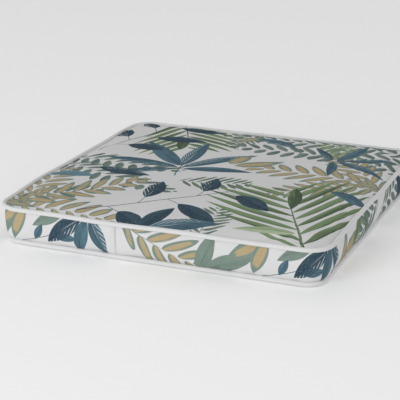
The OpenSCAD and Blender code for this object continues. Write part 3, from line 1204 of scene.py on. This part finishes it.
def stitch_starts(start, end):
    """Where each stitch of a row starts."""
    count = int((end - start + STITCH_PITCH - STITCH_LONG) / STITCH_PITCH + 1e-6)
    return [start + k * STITCH_PITCH for k in range(count)]


def dress_zip(plastic, metal):
    """The moulded teeth, stops, slider and pull stay as they are in CAD, with broken edges."""
    for node, material, slot, width in (
        ("zip_teeth_upper", plastic, "zip_teeth", 0.12),
        ("zip_teeth_lower", plastic, "zip_teeth", 0.12),
        ("zip_top_stops", metal, "zip_metal", 0.2),
        ("zip_bottom_stop", metal, "zip_metal", 0.2),
        ("zip_slider", metal, "zip_metal", 0.25),
        ("zip_pull", metal, "zip_metal", 0.25),
    ):
        part = bpy.data.objects[node]
        edge = part.modifiers.new("edge", "BEVEL")
        edge.width, edge.segments, edge.limit_method = width * MM, 2, "ANGLE"
        part.data.materials.clear()
        part.data.materials.append(material)


# ---- piping ----

LAP_START = 12 * MM
LAP_LONG = 24 * MM
LAP_SWELL = 0.16


def ring_places(reach, step):
    """Places, outward directions and lengths round a rounded outline, from the middle of the back."""
    straight, corner = 2 * CORE, reach * math.pi / 2
    total = 4 * (straight + corner)
    count = int(round(total / step))
    places = []
    for k in range(count):
        run = (k * total / count + CORE) % total
        side, rest = divmod(run, straight + corner)
        turn = math.pi / 2 * (side + 1)
        extra = max(rest - straight, 0) / corner * math.pi / 2
        middle = Vector((CORE, CORE)).xy
        spin = Vector((math.cos(turn), math.sin(turn)))
        ahead = Vector((-spin.y, spin.x))
        core = spin * CORE + ahead * (min(rest, straight) - CORE)
        angle = turn + extra
        places.append((core, Vector((math.cos(angle), math.sin(angle))), k * total / count))
    return places, total


def lapped(run, total):
    """1 where the ends of a piping's tape overlap, left of the back's middle, with a sudden folded end."""
    from_fold = (run - LAP_START) % total
    return smooth_step(1 - from_fold / LAP_LONG) if from_fold < LAP_LONG else 0


def swept_ring(name, reach, z, profile, wobble, overlap=0.0):
    """A closed profile of (outward, up) points swept round the pad."""
    places, total = ring_places(reach, 3 * MM)
    points = []
    lengths = lengths_round(profile)
    for core, out, run in places:
        middle = core + out * reach
        drift = Vector(settled(middle.x, middle.y, z)) - Vector((middle.x, middle.y, z))
        lift = drift.z + wobble * (math.sin(run * 71) + math.sin(run * 173 + 1.3)) / 2
        sway = wobble * (math.sin(run * 53 + 2) + math.sin(run * 211)) / 2
        swollen = 1 + overlap * lapped(run, total)
        for o, u in profile:
            place = core + out * (reach + o * swollen + sway) + drift.xy
            points.append((place.x, place.y, max(z + u * swollen + lift, 0)))
    rows, cols = len(places), len(profile)
    faces, uvs = [], []
    for k in range(rows):
        nxt = (k + 1) % rows
        run0, run1 = places[k][2], places[k][2] + total / rows
        for m in range(cols):
            n = (m + 1) % cols
            faces.append([k * cols + m, nxt * cols + m, nxt * cols + n, k * cols + n])
            uvs += [(run0, lengths[m]), (run1, lengths[m]), (run1, lengths[m + 1]), (run0, lengths[m + 1])]
    piece = mesh_object(name, points, faces)
    fill_uv(piece.data, "flat", uvs)
    shade_smooth(piece)
    return piece


def tube_profile(radius, sides=16):
    turns = [2 * math.pi * k / sides for k in range(sides)]
    return [(radius * math.cos(a), radius * math.sin(a)) for a in turns]


def add_piping(white, cord):
    for place, reach, z in (("top", TOP_REACH, TOP_Z), ("bottom", LOW_REACH, LOW_Z)):
        cover = swept_ring(place + "_piping", reach, z, tube_profile(PIPE_R), 0.12 * MM, LAP_SWELL)
        finish_piece(cover, white, "piping", "cover", place + "_piping_cover")
        core = swept_ring(place + "_filler_cord", reach, z, tube_profile(PIPE_R - CLOTH_T), 0.12 * MM)
        finish_piece(core, cord, "cord", "cover", place + "_piping_cord")


def add_cover(cover, points, top_print, band_print):
    """The six cut pieces of printed canvas; returns them by the node each stands for."""
    made = {}
    cut = (
        ("top_panel_cloth", "top", top_print, "print_top", "top_panel", lambda f: f),
        ("bottom_panel_cloth", "bottom", top_print, "print_bottom", "bottom_panel", lambda f: f),
        ("left_boxing_cloth", "left", band_print, "print_band", "left_boxing", wrapped_left),
        ("right_boxing_cloth", "right", band_print, "print_band", "right_boxing", wrapped),
        ("rear_upper_cloth", "rear_top", band_print, "print_rear", "rear_boxing_upper", wrapped),
        ("rear_lower_cloth", "rear_low", band_print, "print_rear", "rear_boxing_lower", wrapped),
    )
    for name, key, material, slot, node, change in cut:
        piece = cut_piece(cover, points, name, key, change)
        finish_piece(piece, material, slot, "cover", node)
        made[node] = piece
    return made


add_camera()
add_lights()
add_floor()
top_print = printed_canvas("printed_canvas_panel", draw_panel)
band_print = printed_canvas("printed_canvas_band", draw_band)
white = plain_canvas("piping_canvas", (0.72, 0.72, 0.725))
cord = plain_canvas("filler_cord", (0.78, 0.76, 0.68), 2.0)
cover = Cover()
points = swell(cover)
cloths = add_cover(cover, points, top_print, band_print)
add_filling(cover, points)
add_piping(white, cord)
add_tapes(zip_weave())
add_stitching(spun_thread(), (cloths["rear_boxing_upper"], cloths["rear_boxing_lower"]))
dress_zip(moulded_plastic(), coated_metal())
